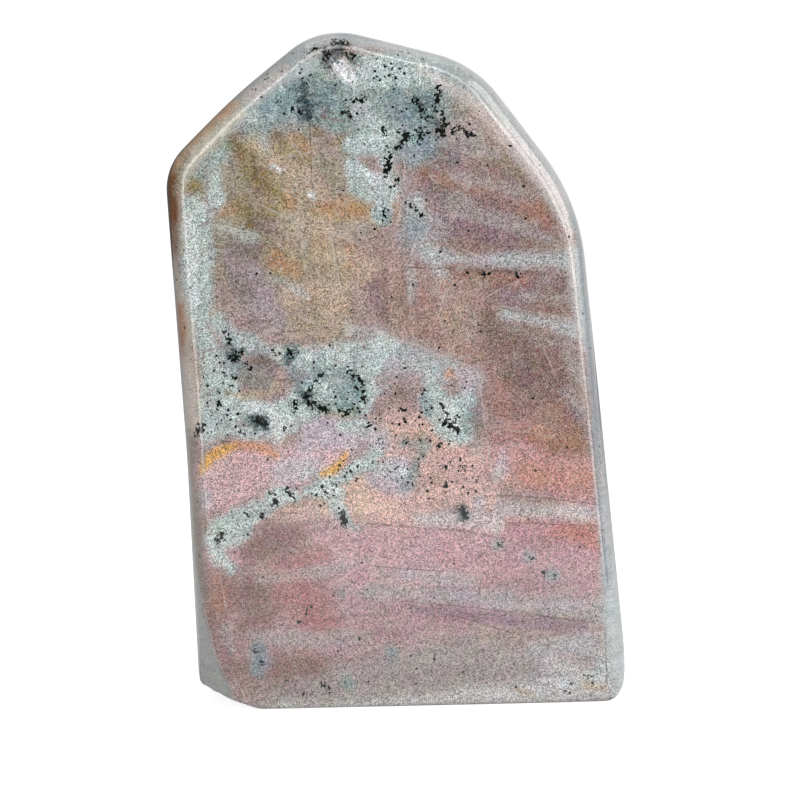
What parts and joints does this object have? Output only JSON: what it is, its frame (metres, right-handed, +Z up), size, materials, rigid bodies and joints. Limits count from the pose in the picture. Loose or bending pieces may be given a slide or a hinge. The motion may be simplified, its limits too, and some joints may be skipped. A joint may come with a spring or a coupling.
{
  "type": "polished stone freeform",
  "caption": "Free-standing slab of polished feldspar stone with a pointed, rounded top and a flat sawn base, for display.",
  "frame": {"origin": "centre of the stone's box in plan, at the level of the flat base", "axes": "+Z up from the base to the point, -Y out of the polished front face, +X to the viewer's right"},
  "size_m": [0.0792, 0.0328, 0.1159],
  "materials": {
    "labradorite": "polished, rose and grey with pale green-grey pockets"
  },
  "bodies": {
    "root": {"labradorite_stone": "labradorite"}
  },
  "joints": []
}
